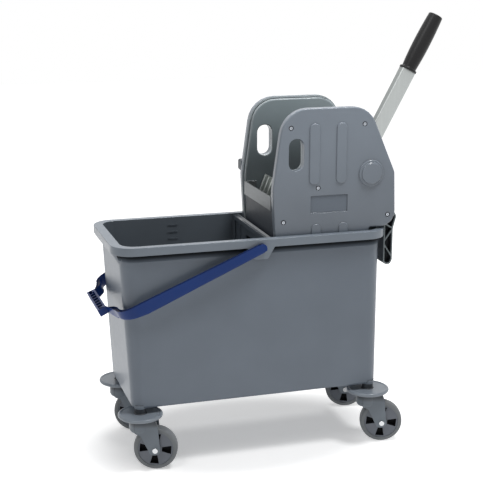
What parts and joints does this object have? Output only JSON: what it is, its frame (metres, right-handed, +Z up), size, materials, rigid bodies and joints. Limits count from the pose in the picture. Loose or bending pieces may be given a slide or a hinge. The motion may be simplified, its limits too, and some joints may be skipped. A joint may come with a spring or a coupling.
{
  "type": "double mop bucket trolley",
  "caption": "Tall mop bucket on swivel castors, parted into chambers by a lift-out divider, with a carrying bail and a lever-driven jaw press wringer at one end.",
  "frame": {"origin": "on the floor, at the centre of the rectangle of the four castor stems", "axes": "+X along the tank towards the wringer end, +Y across the tank to the side away from the lever, +Z up"},
  "size_m": [0.6149, 0.25, 0.7499],
  "materials": {
    "tank_plastic": "moulded polypropylene, fine matt grain",
    "divider_plastic": "moulded polypropylene, satin",
    "housing_plastic": "moulded polypropylene, fine matt grain",
    "hook_plastic": "moulded polypropylene, satin",
    "bail_plastic": "blue moulded polypropylene, satin",
    "pin_plastic": "moulded studs",
    "bush_plastic": "natural acetal",
    "screw_metal": "bright nickel plate",
    "galvanised_steel": "galvanised, dull",
    "press_metal": "galvanised and ribbed sheet",
    "lever_metal": "satin oval tube",
    "grip_plastic": "smooth black vinyl",
    "castor_steel": "zinc plated",
    "bumper_plastic": "moulded, satin",
    "fork_plastic": "moulded nylon, satin",
    "axle_steel": "zinc plated, bright",
    "wheel_plastic": "moulded nylon",
    "tyre_rubber": "soft grey rubber"
  },
  "bodies": {
    "trolley": {"bucket": "tank_plastic", "divider": "divider_plastic", "bail_pins": "pin_plastic", "near_inner_cover": "housing_plastic", "near_outer_cover": "housing_plastic", "far_inner_cover": "housing_plastic", "far_outer_cover": "housing_plastic", "cover_screws": "screw_metal", "near_shaft_bush": "bush_plastic", "far_shaft_bush": "bush_plastic", "front_cross_bar": "galvanised_steel", "front_jaw": "divider_plastic", "rear_stop_rod": "galvanised_steel", "jaw_hinge_rod": "galvanised_steel", "near_rear_hook": "hook_plastic", "far_rear_hook": "hook_plastic", "castor_stem_front_near": "castor_steel", "castor_stem_front_far": "castor_steel", "castor_stem_rear_near": "castor_steel", "castor_stem_rear_far": "castor_steel", "bumper_disc_front_near": "bumper_plastic", "bumper_disc_front_far": "bumper_plastic", "bumper_disc_rear_near": "bumper_plastic", "bumper_disc_rear_far": "bumper_plastic"},
    "bail": {"bail": "bail_plastic"},
    "lever": {"lever_shaft": "galvanised_steel", "lever_tube": "lever_metal", "lever_grip": "grip_plastic", "near_crank": "galvanised_steel", "far_crank": "galvanised_steel", "crank_rollers": "galvanised_steel"},
    "jaw": {"press_plate": "press_metal", "near_jaw_cheek": "galvanised_steel", "far_jaw_cheek": "galvanised_steel"},
    "swivel_front_near": {"fork_front_near": "fork_plastic", "axle_front_near": "axle_steel"},
    "wheel_front_near": {"wheel_front_near": "wheel_plastic", "tyre_front_near": "tyre_rubber"},
    "swivel_front_far": {"fork_front_far": "fork_plastic", "axle_front_far": "axle_steel"},
    "wheel_front_far": {"wheel_front_far": "wheel_plastic", "tyre_front_far": "tyre_rubber"},
    "swivel_rear_near": {"fork_rear_near": "fork_plastic", "axle_rear_near": "axle_steel"},
    "wheel_rear_near": {"wheel_rear_near": "wheel_plastic", "tyre_rear_near": "tyre_rubber"},
    "swivel_rear_far": {"fork_rear_far": "fork_plastic", "axle_rear_far": "axle_steel"},
    "wheel_rear_far": {"wheel_rear_far": "wheel_plastic", "tyre_rear_far": "tyre_rubber"}
  },
  "joints": [
    {"name": "bail_swing", "type": "hinge", "parent": "trolley", "child": "bail", "pos_m": [-0.0012, 0, 0.3748], "axis": [0, 1, 0], "range_deg": [0, 132]},
    {"name": "lever_turn", "type": "hinge", "parent": "trolley", "child": "lever", "pos_m": [0.1985, 0, 0.4875], "axis": [0, 1, 0], "range_deg": [-46, 0]},
    {"name": "jaw_turn", "type": "hinge", "parent": "trolley", "child": "jaw", "pos_m": [0.06, 0, 0.3115], "axis": [0, 1, 0], "range_deg": [0, 30.44]},
    {"name": "swivel_front_near_turn", "type": "hinge", "parent": "trolley", "child": "swivel_front_near", "pos_m": [-0.206, -0.087, 0.0975], "axis": [0, 0, 1], "continuous": true},
    {"name": "wheel_front_near_spin", "type": "hinge", "parent": "swivel_front_near", "child": "wheel_front_near", "pos_m": [-0.18208, -0.09427, 0.0375], "axis": [0.2907, 0.9568, 0], "continuous": true},
    {"name": "swivel_front_far_turn", "type": "hinge", "parent": "trolley", "child": "swivel_front_far", "pos_m": [-0.206, 0.087, 0.0975], "axis": [0, 0, 1], "continuous": true},
    {"name": "wheel_front_far_spin", "type": "hinge", "parent": "swivel_front_far", "child": "wheel_front_far", "pos_m": [-0.18208, 0.07973, 0.0375], "axis": [0.2907, 0.9568, 0], "continuous": true},
    {"name": "swivel_rear_near_turn", "type": "hinge", "parent": "trolley", "child": "swivel_rear_near", "pos_m": [0.206, -0.087, 0.0975], "axis": [0, 0, 1], "continuous": true},
    {"name": "wheel_rear_near_spin", "type": "hinge", "parent": "swivel_rear_near", "child": "wheel_rear_near", "pos_m": [0.22992, -0.09427, 0.0375], "axis": [0.2907, 0.9568, 0], "continuous": true},
    {"name": "swivel_rear_far_turn", "type": "hinge", "parent": "trolley", "child": "swivel_rear_far", "pos_m": [0.206, 0.087, 0.0975], "axis": [0, 0, 1], "continuous": true},
    {"name": "wheel_rear_far_spin", "type": "hinge", "parent": "swivel_rear_far", "child": "wheel_rear_far", "pos_m": [0.22992, 0.07973, 0.0375], "axis": [0.2907, 0.9568, 0], "continuous": true}
  ],
  "couplings": [
    {"joint": "jaw_turn", "follows": "lever_turn", "ratio": -0.66138}
  ]
}
